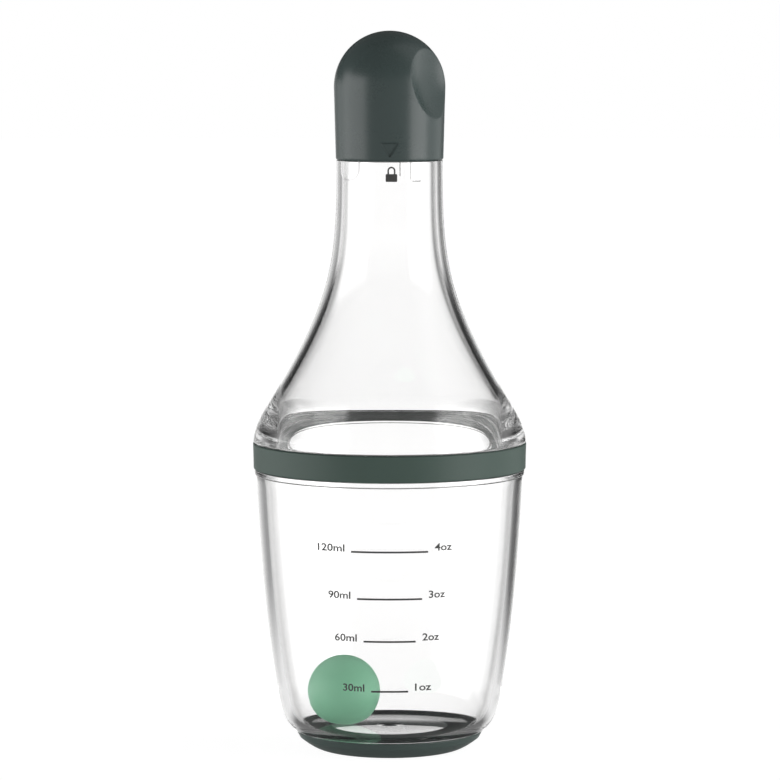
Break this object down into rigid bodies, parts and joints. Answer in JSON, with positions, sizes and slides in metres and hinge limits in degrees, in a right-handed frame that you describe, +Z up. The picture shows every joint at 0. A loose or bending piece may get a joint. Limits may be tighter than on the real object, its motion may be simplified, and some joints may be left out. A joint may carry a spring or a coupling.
{
  "type": "salad dressing shaker bottle",
  "caption": "Clear shaker bottle with a measuring cup, screw-on bottle top, twist cap over a pouring lip and a loose mixing ball.",
  "frame": {"origin": "centre of the foot's flat underside, on the surface that the bottle stands on", "axes": "+Z up along the bottle's axis, -Y towards the front with the measuring scale, +X to the right"},
  "size_m": [0.0742, 0.0742, 0.1951],
  "materials": {
    "clear_plastic": "clear, polished",
    "cap_green": "satin",
    "band_green": "satin",
    "foot_green": "satin",
    "ball_green": "semi-gloss",
    "spout_white": "semi-gloss",
    "core_grey": "satin",
    "silicone": "satin"
  },
  "bodies": {
    "cup_unit": {"cup": "clear_plastic", "base_foot": "foot_green", "joint_band": "band_green"},
    "seal_ring": {"mouth_seal": "silicone"},
    "bottle_top": {"upper_body": "clear_plastic", "pour_spout": "spout_white"},
    "plug": {"spout_seal": "silicone"},
    "cap_unit": {"cap_shell": "cap_green", "cap_core": "core_grey"},
    "ball": {"mixing_ball": "ball_green"}
  },
  "joints": [
    {"name": "top_lift", "type": "slide", "parent": "cup_unit", "child": "seal_ring", "axis": [0, 0, 1], "range_m": [0, 0.05]},
    {"name": "top_turn", "type": "hinge", "parent": "seal_ring", "child": "bottle_top", "pos_m": [0, 0, 0.0838], "axis": [0, 0, 1], "range_deg": [0, 180]},
    {"name": "cap_lift", "type": "slide", "parent": "bottle_top", "child": "plug", "axis": [0, 0, 1], "range_m": [0, 0.03]},
    {"name": "cap_turn", "type": "hinge", "parent": "plug", "child": "cap_unit", "pos_m": [0, 0, 0.16035], "axis": [0, 0, 1], "range_deg": [0, 90]},
    {"name": "ball_shake", "type": "slide", "parent": "cup_unit", "child": "ball", "axis": [0, 0, 1], "range_m": [0, 0.07]}
  ]
}
